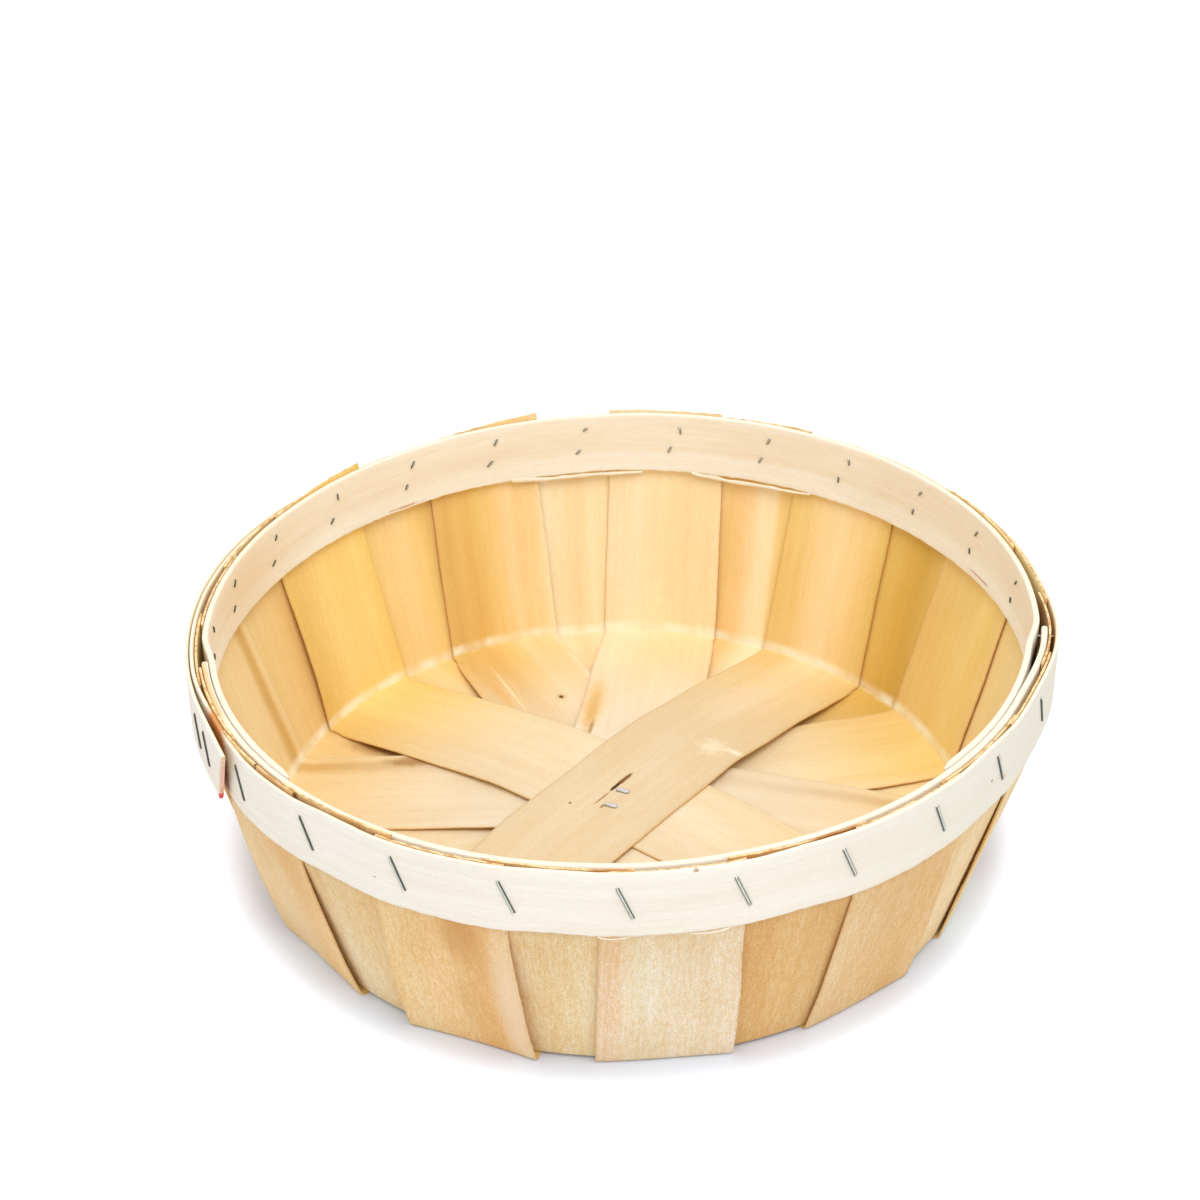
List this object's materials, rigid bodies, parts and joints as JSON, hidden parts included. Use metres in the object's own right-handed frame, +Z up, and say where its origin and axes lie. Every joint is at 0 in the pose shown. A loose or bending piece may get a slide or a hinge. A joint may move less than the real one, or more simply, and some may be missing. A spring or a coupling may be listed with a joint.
{
  "type": "berry basket",
  "caption": "Shallow round basket of thin wooden splints crossed in the floor and turned up as the wall, clamped at the rim between an inside and an outside band by wire staples.",
  "frame": {"origin": "on the table, under the middle of the basket", "axes": "+Z up; +X to the right as seen from the front, +Y to the back; the free end of the outside band is at the front left"},
  "size_m": [0.3105, 0.3064, 0.1002],
  "materials": {
    "outer_splint_wood": "sawn, fuzzy",
    "inner_splint_wood": "smooth, raw",
    "inner_band_wood": "smooth, raw",
    "outer_band_wood": "smooth, raw",
    "staple_steel": "drawn wire"
  },
  "bodies": {
    "root": {"outer_splint_1": "outer_splint_wood", "outer_splint_2": "outer_splint_wood", "outer_splint_3": "outer_splint_wood", "outer_splint_4": "outer_splint_wood", "outer_splint_5": "outer_splint_wood", "outer_splint_6": "outer_splint_wood", "inner_splint_1": "inner_splint_wood", "inner_splint_2": "inner_splint_wood", "inner_splint_3": "inner_splint_wood", "inner_splint_4": "inner_splint_wood", "inner_splint_5": "inner_splint_wood", "inner_splint_6": "inner_splint_wood", "inner_band_back": "inner_band_wood", "inner_band_front": "inner_band_wood", "outer_band": "outer_band_wood", "rim_staple_01": "staple_steel", "rim_staple_02": "staple_steel", "rim_staple_03": "staple_steel", "rim_staple_04": "staple_steel", "rim_staple_05": "staple_steel", "rim_staple_06": "staple_steel", "rim_staple_07": "staple_steel", "rim_staple_08": "staple_steel", "rim_staple_09": "staple_steel", "rim_staple_10": "staple_steel", "rim_staple_11": "staple_steel", "rim_staple_12": "staple_steel", "rim_staple_13": "staple_steel", "rim_staple_14": "staple_steel", "rim_staple_15": "staple_steel", "rim_staple_16": "staple_steel", "rim_staple_17": "staple_steel", "rim_staple_18": "staple_steel", "rim_staple_19": "staple_steel", "rim_staple_20": "staple_steel", "rim_staple_21": "staple_steel", "rim_staple_22": "staple_steel", "rim_staple_23": "staple_steel", "rim_staple_24": "staple_steel", "rim_staple_25": "staple_steel", "rim_staple_26": "staple_steel", "floor_staple": "staple_steel"}
  },
  "joints": []
}
